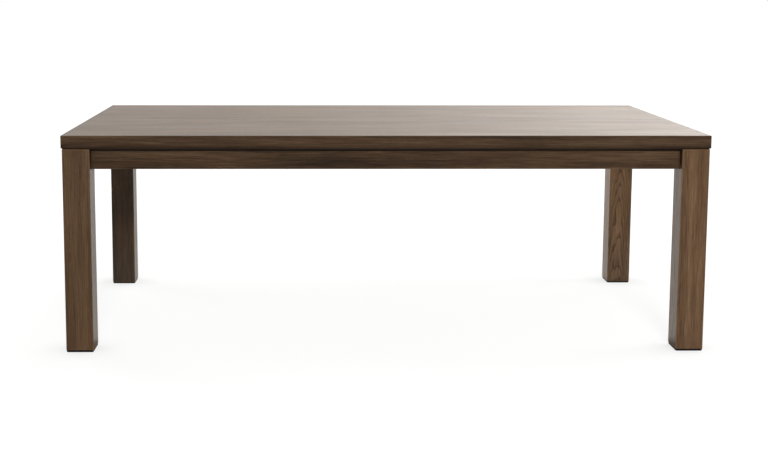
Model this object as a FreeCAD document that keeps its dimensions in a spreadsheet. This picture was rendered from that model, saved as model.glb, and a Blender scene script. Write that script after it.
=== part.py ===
import FreeCAD, Part

import os
import re

import Sketcher
from FreeCAD import Placement, Rotation, Vector

# A long dining table in dark oak. A thick-edged top lies on a frame of recessed aprons, and four square
# legs at the corners bolt to steel corner plates and stand on black pads.
# Millimetres. +X runs along the table, +Y to its back and +Z up. The origin is on the floor, in the middle.

# Driving sizes: name, millimetres, meaning
SIZES = [
    ("table_length", 2236, "length of the top"),
    ("table_width", 1118, "width of the top"),
    ("table_height", 762, "floor to the top's surface"),
    ("top_thickness", 48, "height of the top's edge"),
    ("panel_thickness", 25, "thickness of the veneered panel"),
    ("lipping_thickness", 14, "thickness of the solid edge round the panel"),
    ("top_arris_radius", 2, "rounding of the top's upper edge"),
    ("under_chamfer", 6, "chamfer along the top's lower edge"),
    ("corner_ease", 1.5, "flat taken off the top's upright corners"),
    ("build_up_width", 110, "width of the strips under the panel's sides"),
    ("batten_width", 60, "width of the battens under the panel"),
    ("top_overhang", 3, "how far the top stands past the legs"),
    ("leg_size", 95, "side of the square leg"),
    ("leg_arris_radius", 2.5, "rounding of the leg's edges"),
    ("leg_flat_cut", 20, "how far the bolt flat cuts back the leg's inner faces"),
    ("apron_height", 72, "height of the aprons"),
    ("apron_thickness", 25, "thickness of the aprons"),
    ("apron_setback", 28, "leg face to apron face"),
    ("lower_arris_radius", 1.5, "rounding of the lower edges of aprons and cross rails"),
    ("rail_height", 60, "height of the cross rails"),
    ("rail_thickness", 25, "thickness of the cross rails"),
    ("rail_inset", 540, "leg to the middle of a cross rail"),
    ("tenon_length", 14, "cross rail's tenon in the apron"),
    ("tenon_height", 36, "cross rail's tenon"),
    ("tenon_thickness", 10, "cross rail's tenon"),
    ("tenon_clearance", 0.1, "room round a tenon in its mortise"),
    ("tenon_end_clearance", 0.6, "room at a tenon's end"),
    ("plate_thickness", 2.5, "steel of the corner plate"),
    ("plate_height", 52, "height of the corner plate"),
    ("plate_standoff", 14, "leg flat to corner plate"),
    ("flange_length", 36, "corner plate's flange along the apron"),
    ("lip_depth", 8, "corner plate's lip in the apron's kerf"),
    ("plate_bend_radius", 3, "inner radius of the corner plate's bends"),
    ("kerf_clearance", 0.4, "room round the lip in its kerf"),
    ("bolt_diameter", 8, "hanger bolt"),
    ("bolt_spacing", 26, "between the two bolts of a leg"),
    ("bolt_grip", 45, "bolt in the leg"),
    ("bolt_tail", 5, "bolt past its nut"),
    ("bolt_clearance", 0.15, "room round a bolt"),
    ("bolt_end_clearance", 1, "room at the bolt's end"),
    ("washer_diameter", 22, "bolt washer"),
    ("washer_thickness", 2, "bolt washer"),
    ("nut_width", 13, "bolt nut across its flats"),
    ("nut_height", 6.5, "bolt nut"),
    ("clip_width", 20, "top clip"),
    ("clip_thickness", 2, "steel of the top clip"),
    ("clip_tongue", 8, "clip's tongue in the apron's slot"),
    ("clip_drop", 9, "top of the apron to the clip's tongue"),
    ("clip_riser_gap", 4, "apron to the clip's upright"),
    ("clip_foot", 26, "clip's foot under the build-up strip"),
    ("clip_clearance", 0.3, "room round the tongue in its slot"),
    ("clip_spread", 230, "from a cross rail, or a short apron's middle, to the clip beside it"),
    ("pad_height", 7, "foot pad"),
    ("pad_inset", 3, "leg face to foot pad"),
    ("pad_corner_radius", 5, "foot pad's upright corners"),
    ("pad_lower_chamfer", 2, "foot pad's lower edge"),
]

# Places that follow from the sizes: name, formula, meaning
PLACES = [
    ("under_top", "=table_height - top_thickness", "floor to the underside of the top"),
    ("panel_length", "=table_length - 2 * lipping_thickness", "veneered panel"),
    ("panel_width", "=table_width - 2 * lipping_thickness", "veneered panel"),
    ("build_up_thickness", "=top_thickness - panel_thickness", "strips and battens under the panel"),
    ("batten_length", "=panel_width - 2 * build_up_width", "between the long build-up strips"),
    ("leg_x", "=table_length / 2 - top_overhang - leg_size / 2", "table's middle to a leg's axis"),
    ("leg_y", "=table_width / 2 - top_overhang - leg_size / 2", "table's middle to a leg's axis"),
    ("leg_length", "=under_top - pad_height", "leg without its pad"),
    ("leg_end_chamfer", "=0.6 * leg_arris_radius", "leg's ends, eased less than its long edges"),
    ("apron_base", "=under_top - apron_height", "floor to the aprons' lower edge"),
    ("apron_level", "=under_top - apron_height / 2", "floor to the aprons' middle"),
    ("long_apron", "=2 * leg_x - leg_size", "length of the front and back aprons"),
    ("short_apron", "=2 * leg_y - leg_size", "length of the left and right aprons"),
    ("apron_face_x", "=leg_x + leg_size / 2 - apron_setback", "table's middle to a short apron's face"),
    ("apron_face_y", "=leg_y + leg_size / 2 - apron_setback", "table's middle to a long apron's face"),
    ("apron_back", "=apron_setback + apron_thickness - leg_size / 2", "leg's axis to the apron's back"),
    ("rail_x", "=long_apron / 2 - rail_inset", "table's middle to a cross rail"),
    ("rail_length", "=2 * (apron_face_y - apron_thickness)", "between the long aprons"),
    ("bolt_hole", "=bolt_diameter + 2 * bolt_clearance", "hole for a bolt"),
    ("flat_face", "=(leg_size - leg_flat_cut) * sqrt(0.5)", "leg's axis to its bolt flat, on the diagonal"),
    ("plate_face", "=flat_face + plate_standoff", "leg's axis to the corner plate, on the diagonal"),
    ("plate_back", "=plate_face + plate_thickness", "leg's axis to the plate's inner face"),
    ("plate_bend", "=plate_face - sqrt(2) * apron_back", "half the plate between its bends"),
    ("flange_start", "=sqrt(2) * plate_face - apron_back - leg_size / 2", "apron's end to the flange"),
    ("kerf_place", "=flange_start + flange_length", "apron's end to the kerf"),
    ("bolt_reach", "=plate_standoff + plate_thickness + washer_thickness + nut_height + bolt_tail",
     "bolt outside the leg"),
    ("pad_size", "=leg_size - 2 * pad_inset", "side of the foot pad"),
]

ALIASES = {alias for alias, _, _ in SIZES + PLACES}
UP = Vector(0, 0, 1)
DIAGONAL = Vector(1, 1, 0)

# Sides and corners in the order of quarter turns from the front and from the front left
SIDES = ["front", "right", "back", "left"]
LONG_SIDES = ["front", "back"]
CORNERS = ["front_left", "front_right", "back_right", "back_left"]
LEG_PLACES = [("-leg_x", "-leg_y"), ("leg_x", "-leg_y"), ("leg_x", "leg_y"), ("-leg_x", "leg_y")]
PAIR = {"left": "-1", "right": "1"}
UPPER_AND_LOWER = ("0.5", "-0.5")

# Clips along a long apron, one on each side of each cross rail, and along a short apron
LONG_CLIPS = [f"{rail} * rail_x {side} clip_spread" for rail in PAIR.values() for side in "-+"]
SHORT_CLIPS = ["-clip_spread", "clip_spread"]

# Limits of the tests below, in cubic millimetres and millimetres
SMALLEST_CUT = 1
SAME_PLACE = 0.0001

doc = FreeCAD.newDocument("DiningTable")
nodes = []


# Sheet, formulas and placing

def make_sheet():
    sheet = doc.addObject("Spreadsheet::Sheet", "Sizes")
    for row, (alias, content, meaning) in enumerate(SIZES + PLACES, start=1):
        sheet.set(f"A{row}", meaning)
        sheet.set(f"B{row}", str(content))
        sheet.setAlias(f"B{row}", alias)
    doc.recompute()
    return sheet


sizes = make_sheet()


def bound(formula):
    """The formula with every name of the sheet written in full."""
    return re.sub("[a-z_]+", lambda word: f"Sizes.{word[0]}" if word[0] in ALIASES else word[0], formula)


def value(formula):
    return float(sizes.evalExpression(bound(formula)))


def place(piece, x, y, z, turn=Rotation()):
    piece.Placement = Placement(Vector(value(x), value(y), value(z)), turn)
    for axis, formula in zip("xyz", (x, y, z)):
        piece.setExpression(f"Placement.Base.{axis}", bound(formula))


def turned(quarters, x, y):
    """The point x, y after quarter turns about the upright axis."""
    return [(x, y), (f"-({y})", x), (f"-({x})", f"-({y})"), (y, f"-({x})")][quarters]


def quarter_turn(quarters):
    return Rotation(UP, 90 * quarters)


def place_on_side(piece, side, distance, height):
    """Puts a piece that was made for the front on a side, its outer face at a distance from the middle."""
    quarters = SIDES.index(side)
    x, y = turned(quarters, "0", f"-({distance})")
    place(piece, x, y, height, quarter_turn(quarters))


# Sketches and features

def new_body(label, node=True):
    body = doc.addObject("PartDesign::Body", label)
    body.Label = label
    if node:
        nodes.append(body)
    return body


def origin_plane(body, role):
    return next(feature for feature in body.Origin.OriginFeatures if feature.Role == role)


def sketch_on(body, name, role, at=("0", "0", "0"), turn=Rotation()):
    """A sketch on an origin plane of its body, moved and turned in that plane's own axes."""
    sketch = body.newObject("Sketcher::SketchObject", name)
    sketch.AttachmentSupport = [(origin_plane(body, role), "")]
    sketch.MapMode = "FlatFace"
    sketch.AttachmentOffset = Placement(Vector(*map(value, at)), turn)
    for axis, formula in zip("xyz", at):
        sketch.setExpression(f"AttachmentOffset.Base.{axis}", bound(formula))
    return sketch


def bind(sketch, kind, formula, *elements):
    number = sketch.addConstraint(Sketcher.Constraint(kind, *elements, value(formula)))
    sketch.setExpression(f"Constraints[{number}]", bound(formula))


def pin(sketch, element, point, x, y):
    """Ties a point of a sketch element to the sketch's origin."""
    bind(sketch, "DistanceX", x, -1, 1, element, point)
    bind(sketch, "DistanceY", y, -1, 1, element, point)


def outline(sketch, corners):
    """A closed outline of straight sides."""
    points = [Vector(value(x), value(y)) for x, y in corners]
    lines = [sketch.addGeometry(Part.LineSegment(*ends)) for ends in zip(points, points[1:] + points[:1])]
    for line, following in zip(lines, lines[1:] + lines[:1]):
        sketch.addConstraint(Sketcher.Constraint("Coincident", line, 2, following, 1))
    for line, (x, y) in zip(lines, corners):
        pin(sketch, line, 1, x, y)


def block(left, right, low, high):
    return [(left, low), (right, low), (right, high), (left, high)]


def centred(length, width):
    return block(f"-({length}) / 2", f"({length}) / 2", f"-({width}) / 2", f"({width}) / 2")


def circle(sketch, x, y, diameter):
    ring = Part.Circle(Vector(value(x), value(y)), UP, value(diameter) / 2)
    element = sketch.addGeometry(ring)
    pin(sketch, element, 3, x, y)
    bind(sketch, "Diameter", diameter, element)


def pad(body, sketch, length, both_ways=False):
    feature = body.newObject("PartDesign::Pad", f"{sketch.Name}Pad")
    feature.Profile = sketch
    feature.Midplane = both_ways
    feature.setExpression("Length", bound(length))
    doc.recompute()


def pocket(body, sketch, depth, along_normal=False):
    """Cuts a sketch into its body, and makes sure that something was cut."""
    before = body.Shape.Volume
    feature = body.newObject("PartDesign::Pocket", f"{sketch.Name}Pocket")
    feature.Profile = sketch
    feature.Reversed = along_normal
    feature.setExpression("Length", bound(depth))
    doc.recompute()
    if before - body.Shape.Volume < SMALLEST_CUT:
        raise ValueError(f"{body.Label}: {sketch.Name} cuts nothing")
    return feature


def mirror(body, original, role):
    feature = body.newObject("PartDesign::Mirrored", f"{original.Name}Mirror")
    feature.Originals = [original]
    feature.MirrorPlane = (origin_plane(body, role), [""])
    body.Tip = feature
    doc.recompute()


def dress(body, kind, size_name, size, chosen):
    """A fillet or a chamfer on the edges of the body whose box passes a test."""
    base = body.Tip
    edges = [f"Edge{n}" for n, edge in enumerate(base.Shape.Edges, start=1) if chosen(edge.BoundBox)]
    feature = body.newObject(f"PartDesign::{kind}", f"{base.Name}{kind}")
    feature.Base = (base, edges)
    feature.setExpression(size_name, bound(size))
    doc.recompute()


def fillet(body, radius, chosen):
    dress(body, "Fillet", "Radius", radius, chosen)


def chamfer(body, size, chosen):
    dress(body, "Chamfer", "Size", size, chosen)


def near(a, b):
    return abs(a - b) < SAME_PLACE


def at_height(box, height):
    return near(box.ZMin, height) and near(box.ZMax, height)


def upright_at(box, x, y):
    return all(map(near, (box.XMin, box.XMax, box.YMin, box.YMax), (x, x, y, y))) and box.ZLength > 0


def group(label, pattern, places):
    """Copies of one small piece in one node, each at its own place."""
    links = []
    for number, (x, y, z, turn) in enumerate(places, start=1):
        link = doc.addObject("App::Link", f"{label}_{number}")
        link.LinkedObject = pattern
        place(link, x, y, z, turn)
        links.append(link)
    compound = doc.addObject("Part::Compound", label)
    compound.Label = label
    compound.Links = links
    nodes.append(compound)


# The top

def make_top_panel():
    body = new_body("top_panel")
    plan = sketch_on(body, "PanelPlan", "XY_Plane")
    outline(plan, centred("panel_length", "panel_width"))
    pad(body, plan, "panel_thickness")
    place(body, "0", "0", "table_height - panel_thickness")


def make_lipping(side, length, distance):
    """A solid edge strip, mitred at both ends, its outer face at y = 0."""
    body = new_body(f"edge_lipping_{side}")
    plan = sketch_on(body, "MitredPlan", "XY_Plane")
    inner = f"({length}) / 2 - lipping_thickness"
    outline(plan, [
        (f"-({length}) / 2", "0"),
        (f"({length}) / 2", "0"),
        (inner, "lipping_thickness"),
        (f"-({inner})", "lipping_thickness"),
    ])
    pad(body, plan, "top_thickness")
    top = value("top_thickness")
    fillet(body, "top_arris_radius", lambda box: at_height(box, top) and near(box.YMax, 0))
    chamfer(body, "under_chamfer", lambda box: at_height(box, 0) and near(box.YMax, 0))
    tips = sketch_on(body, "EasedCorners", "XY_Plane", ("0", "0", "top_thickness"))
    for end in PAIR.values():
        outline(tips, [
            (f"{end} * (({length}) / 2 - 2 * corner_ease)", "-corner_ease"),
            (f"{end} * (({length}) / 2 + corner_ease)", "-corner_ease"),
            (f"{end} * (({length}) / 2 + corner_ease)", "2 * corner_ease"),
        ])
    pocket(body, tips, "top_thickness")
    place_on_side(body, side, distance, "under_top")


def make_build_up(side, length, distance):
    """A strip under the panel's rim, its outer edge at y = 0."""
    body = new_body(f"build_up_strip_{side}")
    plan = sketch_on(body, "StripPlan", "XY_Plane")
    outline(plan, block(f"-({length}) / 2", f"({length}) / 2", "0", "build_up_width"))
    pad(body, plan, "build_up_thickness")
    place_on_side(body, side, distance, "under_top")


def make_batten(hand):
    """A batten under the panel, over a cross rail."""
    body = new_body(f"cross_batten_{hand}")
    plan = sketch_on(body, "BattenPlan", "XY_Plane")
    outline(plan, centred("batten_width", "batten_length"))
    pad(body, plan, "build_up_thickness")
    place(body, f"{PAIR[hand]} * rail_x", "0", "under_top")


def make_top():
    make_top_panel()
    for side in SIDES:
        if side in LONG_SIDES:
            make_lipping(side, "table_length", "table_width / 2")
            make_build_up(side, "panel_length", "panel_width / 2")
        else:
            make_lipping(side, "table_width", "table_length / 2")
            make_build_up(side, "batten_length", "panel_length / 2")
    for hand in PAIR:
        make_batten(hand)


# The frame under the top

def make_apron(side, length, distance, clips, rails):
    """An apron with its outer face at y = 0, cut for the corner plates, the clips and the cross rails."""
    body = new_body(f"apron_{side}")
    profile = sketch_on(body, "ApronProfile", "YZ_Plane")
    outline(profile, block("0", "apron_thickness", "0", "apron_height"))
    pad(body, profile, length, both_ways=True)
    fillet(body, "lower_arris_radius", lambda box: at_height(box, 0) and box.XLength > box.YLength)

    kerf = sketch_on(body, "PlateKerf", "XY_Plane", ("0", "0", "apron_height"))
    kerf_start = f"({length}) / 2 - kerf_place"
    outline(kerf, block(
        f"{kerf_start} - plate_thickness - kerf_clearance",
        f"{kerf_start} + kerf_clearance",
        "apron_thickness - lip_depth - kerf_clearance",
        "apron_thickness + kerf_clearance",
    ))
    mirror(body, pocket(body, kerf, "apron_height"), "YZ_Plane")

    slots = sketch_on(body, "ClipSlots", "XZ_Plane", ("0", "0", "-apron_thickness"))
    for clip in clips:
        outline(slots, block(
            f"{clip} - clip_width / 2 - clip_clearance",
            f"{clip} + clip_width / 2 + clip_clearance",
            "apron_height - clip_drop - clip_thickness - clip_clearance",
            "apron_height - clip_drop + clip_clearance",
        ))
    pocket(body, slots, "clip_tongue + clip_clearance", along_normal=True)

    if rails:
        mortises = sketch_on(body, "RailMortises", "XZ_Plane", ("0", "0", "-apron_thickness"))
        for rail in rails:
            outline(mortises, block(
                f"{rail} - tenon_thickness / 2 - tenon_clearance",
                f"{rail} + tenon_thickness / 2 + tenon_clearance",
                "apron_height - (rail_height + tenon_height) / 2 - tenon_clearance",
                "apron_height - (rail_height - tenon_height) / 2 + tenon_clearance",
            ))
        pocket(body, mortises, "tenon_length + tenon_end_clearance", along_normal=True)
    place_on_side(body, side, distance, "apron_base")


def make_cross_rail(hand):
    """A rail across the frame, with a stub tenon at each end."""
    body = new_body(f"cross_rail_{hand}")
    profile = sketch_on(body, "RailProfile", "XZ_Plane")
    outline(profile, block("-rail_thickness / 2", "rail_thickness / 2", "0", "rail_height"))
    pad(body, profile, "rail_length", both_ways=True)
    fillet(body, "lower_arris_radius", lambda box: at_height(box, 0) and box.YLength > box.XLength)
    tenon = sketch_on(body, "TenonProfile", "XZ_Plane")
    outline(tenon, block(
        "-tenon_thickness / 2",
        "tenon_thickness / 2",
        "(rail_height - tenon_height) / 2",
        "(rail_height + tenon_height) / 2",
    ))
    pad(body, tenon, "rail_length + 2 * tenon_length", both_ways=True)
    place(body, f"{PAIR[hand]} * rail_x", "0", "under_top - rail_height")


def make_frame():
    rails = [f"{hand} * rail_x" for hand in PAIR.values()]
    for side in SIDES:
        if side in LONG_SIDES:
            make_apron(side, "long_apron", "apron_face_y", LONG_CLIPS, rails)
        else:
            make_apron(side, "short_apron", "apron_face_x", SHORT_CLIPS, [])
    for hand in PAIR:
        make_cross_rail(hand)


# The legs and what joins them to the frame

def make_leg(quarters):
    """A square leg on its own axis, its inner faces towards +X and +Y, with a flat across their corner."""
    body = new_body(f"leg_{CORNERS[quarters]}")
    section = sketch_on(body, "LegSection", "XY_Plane")
    outline(section, centred("leg_size", "leg_size"))
    pad(body, section, "leg_length")
    length = value("leg_length")
    fillet(body, "leg_arris_radius", lambda box: near(box.ZLength, length))
    chamfer(body, "leg_end_chamfer", lambda box: at_height(box, 0) or at_height(box, length))

    flat = sketch_on(body, "BoltFlat", "XY_Plane", ("0", "0", "leg_length"))
    outside = "leg_size / 2 + leg_flat_cut"
    inside = "leg_size / 2 - 2 * leg_flat_cut"
    outline(flat, [(inside, outside), (outside, inside), (outside, outside)])
    pocket(body, flat, "apron_height")

    flat_middle = ("flat_face * sqrt(0.5)", "0", "-flat_face * sqrt(0.5)")
    bolts = sketch_on(body, "BoltHoles", "XZ_Plane", flat_middle, Rotation(Vector(0, 1, 0), 135))
    for half in UPPER_AND_LOWER:
        circle(bolts, "0", f"leg_length - apron_height / 2 + {half} * bolt_spacing", "bolt_hole")
    pocket(body, bolts, "bolt_grip + bolt_end_clearance")
    place(body, *LEG_PLACES[quarters], "pad_height", quarter_turn(quarters))


def plate_outline():
    """The corner plate from above, on the leg's diagonal: two flanges at 45 degrees, each with a lip."""
    slant = "sqrt(0.5)"
    flange_end = f"flange_length * {slant}"
    lip = f"lip_depth * {slant}"
    steel = f"plate_thickness * {slant}"
    half = [
        ("plate_bend", "plate_face"),
        (f"plate_bend + {flange_end}", f"plate_face + {flange_end}"),
        (f"plate_bend + {flange_end} + {lip}", f"plate_face + {flange_end} - {lip}"),
        (f"plate_bend + {flange_end} + {lip} + {steel}", f"plate_face + {flange_end} - {lip} + {steel}"),
        (f"plate_bend + {flange_end}", f"plate_face + {flange_end} + 2 * {steel}"),
        ("plate_bend - plate_thickness * (sqrt(2) - 1)", "plate_back"),
    ]
    return half + [(f"-({x})", y) for x, y in reversed(half)]


def make_corner_plate(quarters):
    """A bent steel plate across the corner, flanges flat on the aprons and lips in their kerfs."""
    body = new_body(f"corner_plate_{CORNERS[quarters]}")
    plan = sketch_on(body, "PlatePlan", "XY_Plane")
    outline(plan, plate_outline())
    pad(body, plan, "plate_height", both_ways=True)
    bend = value("plate_bend")
    inner_bend = value("plate_bend - plate_thickness * (sqrt(2) - 1)")
    face = value("plate_face")
    back = value("plate_back")
    fillet(body, "plate_bend_radius + plate_thickness",
           lambda box: upright_at(box, bend, face) or upright_at(box, -bend, face))
    fillet(body, "plate_bend_radius",
           lambda box: upright_at(box, inner_bend, back) or upright_at(box, -inner_bend, back))

    bolts = sketch_on(body, "BoltHoles", "XZ_Plane", ("0", "0", "-plate_back"))
    for half in UPPER_AND_LOWER:
        circle(bolts, "0", f"{half} * bolt_spacing", "bolt_hole")
    pocket(body, bolts, "plate_thickness", along_normal=True)
    place(body, *LEG_PLACES[quarters], "apron_level", quarter_turn(quarters - 0.5))


def make_foot_pad(quarters):
    """A black pad, a little smaller than the leg."""
    body = new_body(f"foot_pad_{CORNERS[quarters]}")
    plan = sketch_on(body, "PadPlan", "XY_Plane")
    outline(plan, centred("pad_size", "pad_size"))
    pad(body, plan, "pad_height")
    height = value("pad_height")
    fillet(body, "pad_corner_radius", lambda box: near(box.ZLength, height))
    chamfer(body, "pad_lower_chamfer", lambda box: at_height(box, 0))
    place(body, *LEG_PLACES[quarters], "0")


def make_legs():
    for quarters in range(len(CORNERS)):
        make_leg(quarters)
        make_corner_plate(quarters)
        make_foot_pad(quarters)


# Small pieces that repeat

def make_bolt():
    bolt = doc.addObject("Part::Cylinder", "HangerBolt")
    bolt.setExpression("Radius", bound("bolt_diameter / 2"))
    bolt.setExpression("Height", bound("bolt_grip + bolt_reach"))
    doc.recompute()
    return bolt


def make_washer():
    body = new_body("BoltWasher", node=False)
    plan = sketch_on(body, "WasherPlan", "XY_Plane")
    circle(plan, "0", "0", "washer_diameter")
    circle(plan, "0", "0", "bolt_hole")
    pad(body, plan, "washer_thickness")
    return body


def make_nut():
    body = new_body("BoltNut", node=False)
    plan = sketch_on(body, "NutPlan", "XY_Plane")
    point = "nut_width / sqrt(3)"
    outline(plan, [
        (point, "0"),
        (f"{point} / 2", "nut_width / 2"),
        (f"-{point} / 2", "nut_width / 2"),
        (f"-{point}", "0"),
        (f"-{point} / 2", "-nut_width / 2"),
        (f"{point} / 2", "-nut_width / 2"),
    ])
    circle(plan, "0", "0", "bolt_hole")
    pad(body, plan, "nut_height")
    return body


def make_clip():
    """A stepped steel clip for the front apron: tongue in its slot, foot under the build-up strip."""
    body = new_body("TopClip", node=False)
    profile = sketch_on(body, "ClipProfile", "YZ_Plane")
    riser = "clip_riser_gap + clip_thickness"
    tip = "clip_riser_gap + clip_foot"
    outline(profile, [
        ("-clip_tongue", "-clip_drop - clip_thickness"),
        (riser, "-clip_drop - clip_thickness"),
        (riser, "-clip_thickness"),
        (tip, "-clip_thickness"),
        (tip, "0"),
        ("clip_riser_gap", "0"),
        ("clip_riser_gap", "-clip_drop"),
        ("-clip_tongue", "-clip_drop"),
    ])
    pad(body, profile, "clip_width", both_ways=True)
    return body


def clip_places():
    """A place at every clip of the four aprons, on the apron's inner face."""
    places = []
    for quarters, side in enumerate(SIDES):
        long_side = side in LONG_SIDES
        face = "apron_face_y" if long_side else "apron_face_x"
        for clip in LONG_CLIPS if long_side else SHORT_CLIPS:
            x, y = turned(quarters, clip, f"-({face} - apron_thickness)")
            places.append((x, y, "under_top", quarter_turn(quarters)))
    return places


def bolt_places(distance):
    """A place at both bolts of every leg, at a distance from the leg's axis along its diagonal."""
    places = []
    side = f"({distance}) * sqrt(0.5)"
    for quarters, (leg_x, leg_y) in enumerate(LEG_PLACES):
        dx, dy = turned(quarters, side, side)
        turn = quarter_turn(quarters).multiply(Rotation(UP, DIAGONAL))
        for half in UPPER_AND_LOWER:
            level = f"apron_level + {half} * bolt_spacing"
            places.append((f"{leg_x} + {dx}", f"{leg_y} + {dy}", level, turn))
    return places


def make_small_pieces():
    group("hanger_bolts", make_bolt(), bolt_places("flat_face - bolt_grip"))
    group("bolt_washers", make_washer(), bolt_places("plate_back"))
    group("bolt_nuts", make_nut(), bolt_places("plate_back + washer_thickness"))
    group("top_clips", make_clip(), clip_places())


# Building, testing and writing

def test_document():
    for item in doc.Objects:
        if "Invalid" in item.State or "Error" in item.State:
            raise ValueError(f"{item.Label} failed: {item.State}")
    for node in nodes:
        if node.Shape.isNull() or not node.Shape.isValid() or not node.Shape.Solids:
            raise ValueError(f"{node.Label} has no sound shape")


def write_nodes():
    os.makedirs("parts", exist_ok=True)
    for node in nodes:
        node.Shape.exportStep(f"parts/{node.Label}.step")


make_top()
make_frame()
make_legs()
make_small_pieces()
doc.recompute()
test_document()
write_nodes()
print(f"{len(nodes)} nodes, {sum(len(node.Shape.Solids) for node in nodes)} solids")
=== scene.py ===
import math
from collections import namedtuple

import bmesh
import bpy
from mathutils import Euler, Matrix, Vector


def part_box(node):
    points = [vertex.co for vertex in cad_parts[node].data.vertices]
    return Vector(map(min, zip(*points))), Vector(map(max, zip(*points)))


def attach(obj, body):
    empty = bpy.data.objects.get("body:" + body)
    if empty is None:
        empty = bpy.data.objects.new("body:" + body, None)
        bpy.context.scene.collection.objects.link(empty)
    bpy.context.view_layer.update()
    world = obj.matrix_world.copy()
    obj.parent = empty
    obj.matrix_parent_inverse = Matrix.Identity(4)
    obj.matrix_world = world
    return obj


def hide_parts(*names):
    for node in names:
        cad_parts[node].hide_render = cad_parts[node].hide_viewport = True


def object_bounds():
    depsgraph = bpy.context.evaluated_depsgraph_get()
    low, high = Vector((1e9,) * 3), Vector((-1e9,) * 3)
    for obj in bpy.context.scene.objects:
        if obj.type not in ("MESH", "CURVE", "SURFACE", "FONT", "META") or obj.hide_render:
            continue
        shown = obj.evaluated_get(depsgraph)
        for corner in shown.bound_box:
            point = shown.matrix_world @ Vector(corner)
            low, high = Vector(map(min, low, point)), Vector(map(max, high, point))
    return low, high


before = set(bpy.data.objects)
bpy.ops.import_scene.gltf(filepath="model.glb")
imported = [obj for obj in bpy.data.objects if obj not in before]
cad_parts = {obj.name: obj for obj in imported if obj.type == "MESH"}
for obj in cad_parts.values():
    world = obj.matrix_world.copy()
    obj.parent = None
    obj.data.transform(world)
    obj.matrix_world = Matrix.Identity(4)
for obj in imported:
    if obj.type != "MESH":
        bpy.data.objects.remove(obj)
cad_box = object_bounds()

# A long dining table in dark stained oak, in metres, in the frame of its solids: +X along the table,
# +Y to its back, +Z up, the origin on the floor in the middle.
MM = 0.001
CORNERS = ("front_left", "front_right", "back_right", "back_left")
INWARDS = {"front": (0, 1, 0), "right": (-1, 0, 0), "back": (0, -1, 0), "left": (1, 0, 0)}
SIDES = tuple(INWARDS)
LONG_SIDES = ("front", "back")
HANDS = ("left", "right")


def paint(red, green, blue):
    """A colour written as it shows on a screen, from 0 to 255."""
    shown = [channel / 255 for channel in (red, green, blue)]
    return [c / 12.92 if c < 0.04045 else ((c + 0.055) / 1.055) ** 2.4 for c in shown] + [1]


def middle_of(node):
    """The middle of a node's box."""
    low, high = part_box(node)
    return (low + high) / 2


def put_in_scene(thing):
    bpy.context.scene.collection.objects.link(thing)


# Node trees

class Recipe:
    """Writes a node tree from its first node to its last."""

    def __init__(self, tree):
        self.tree = tree

    def add(self, kind, inputs=(), output=0, **settings):
        """A new node. Its inputs are plain values or the outputs of earlier nodes."""
        node = self.tree.nodes.new(kind)
        for name, setting in settings.items():
            setattr(node, name, setting)
        for key, given in dict(inputs).items():
            self.feed(node.inputs[key], given)
        return node.outputs[output] if len(node.outputs) else node

    def feed(self, socket, given):
        if isinstance(given, bpy.types.NodeSocket):
            self.tree.links.new(given, socket)
        else:
            socket.default_value = given

    def place(self):
        """Where a point of the surface lies, in metres."""
        return self.add("ShaderNodeTexCoord", output="Object")

    def math(self, operation, *values):
        return self.add("ShaderNodeMath", enumerate(values), operation=operation)

    def times(self, first, *others):
        """Values multiplied together."""
        product = first
        for other in others:
            product = self.math("MULTIPLY", product, other)
        return product

    def vector(self, operation, *values):
        return self.add("ShaderNodeVectorMath", enumerate(values), operation=operation)

    def length(self, arrow):
        return self.add("ShaderNodeVectorMath", {0: arrow}, output="Value", operation="LENGTH")

    def parts(self, arrow):
        return self.add("ShaderNodeSeparateXYZ", {0: arrow}).node.outputs

    def join(self, x, y, z):
        return self.add("ShaderNodeCombineXYZ", enumerate((x, y, z)))

    def noise(self, place, per_metre, detail=2, roughness=0.5, output="Fac"):
        """Noise with so many lumps to the metre along each axis."""
        stretched = self.vector("MULTIPLY", place, per_metre)
        settings = {"Vector": stretched, "Scale": 1, "Detail": detail, "Roughness": roughness}
        return self.add("ShaderNodeTexNoise", settings, output=output)

    def fade(self, given, start, end, low=0, high=1):
        """Goes smoothly from low to high as the given value goes from start to end."""
        settings = {"Value": given, "From Min": start, "From Max": end, "To Min": low, "To Max": high}
        return self.add("ShaderNodeMapRange", settings, interpolation_type="SMOOTHSTEP")

    def ramp(self, given, stops):
        """A colour that follows a value through the stops, each a position and a colour."""
        colour = self.add("ShaderNodeValToRGB", {"Fac": given}, output="Color")
        elements = colour.node.color_ramp.elements
        while len(elements) < len(stops):
            elements.new(0.5)
        for element, (position, tone) in zip(elements, stops):
            element.position = position
            element.color = tone
        return colour

    def mix(self, share, first, second, blend="MIX"):
        """Two colours mixed: none of the second at share 0, all of it at share 1."""
        node = self.tree.nodes.new("ShaderNodeMix")
        node.data_type = "RGBA"
        node.blend_type = blend
        sockets = {socket.identifier: socket for socket in node.inputs}
        for name, given in (("Factor_Float", share), ("A_Color", first), ("B_Color", second)):
            self.feed(sockets[name], given)
        return next(socket for socket in node.outputs if socket.identifier == "Result_Color")

    def weigh(self, start, *terms):
        """A start value plus weighted terms, each a value around one half and its weight."""
        total = start
        for given, weight in terms:
            swing = self.math("SUBTRACT", given, 0.5)
            total = self.math("MULTIPLY_ADD", swing, weight, total)
        return total


def new_material(name):
    material = bpy.data.materials.new(name)
    material.use_nodes = True
    material.node_tree.nodes.clear()
    return material, Recipe(material.node_tree)


def finish_surface(recipe, sockets, height, depth):
    """The lacquered or bare surface itself, with its relief."""
    relief = {"Height": height, "Distance": depth, "Strength": 1}
    normal = recipe.add("ShaderNodeBump", relief)
    surface = recipe.add("ShaderNodeBsdfPrincipled", {**sockets, "Normal": normal})
    recipe.add("ShaderNodeOutputMaterial", {"Surface": surface})


# Timber

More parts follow.
